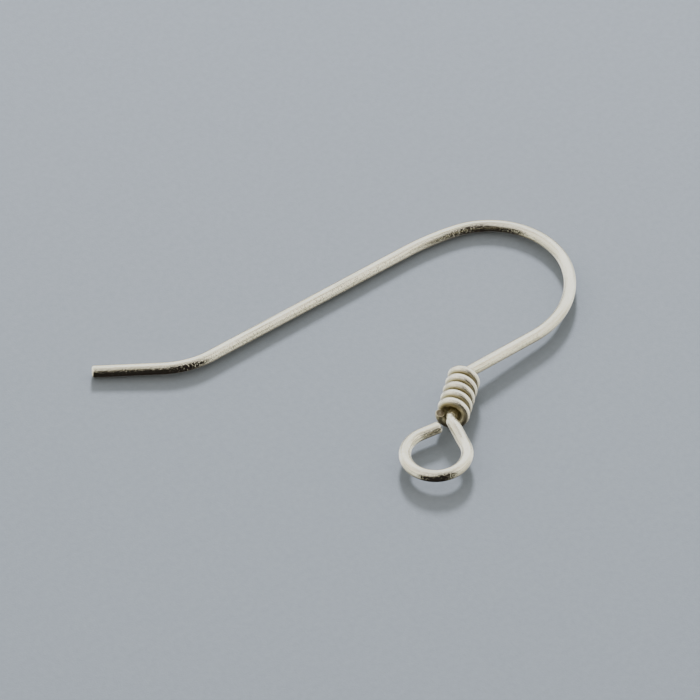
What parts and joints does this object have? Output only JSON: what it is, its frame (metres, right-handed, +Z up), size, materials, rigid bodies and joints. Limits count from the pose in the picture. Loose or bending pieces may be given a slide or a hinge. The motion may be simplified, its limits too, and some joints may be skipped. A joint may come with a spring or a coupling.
{
  "type": "ear wire",
  "caption": "Ear wire bent from one round silver wire: a long straight leg, a wide top bend, a short wound coil on the shank and an open loop for a drop; it lies flat.",
  "frame": {"origin": "centre of the box round the part, on the surface that it lies on", "axes": "+X along the leg, from the tip towards the top bend; +Y from the loop's side towards the leg; +Z up from the surface"},
  "size_m": [0.0276, 0.0197, 0.002],
  "materials": {
    "hook_wire": "polished drawn silver",
    "coil_wire": "polished drawn silver, a little darker between the turns"
  },
  "bodies": {
    "root": {"ear_hook": "hook_wire", "wire_coil": "coil_wire"}
  },
  "joints": []
}
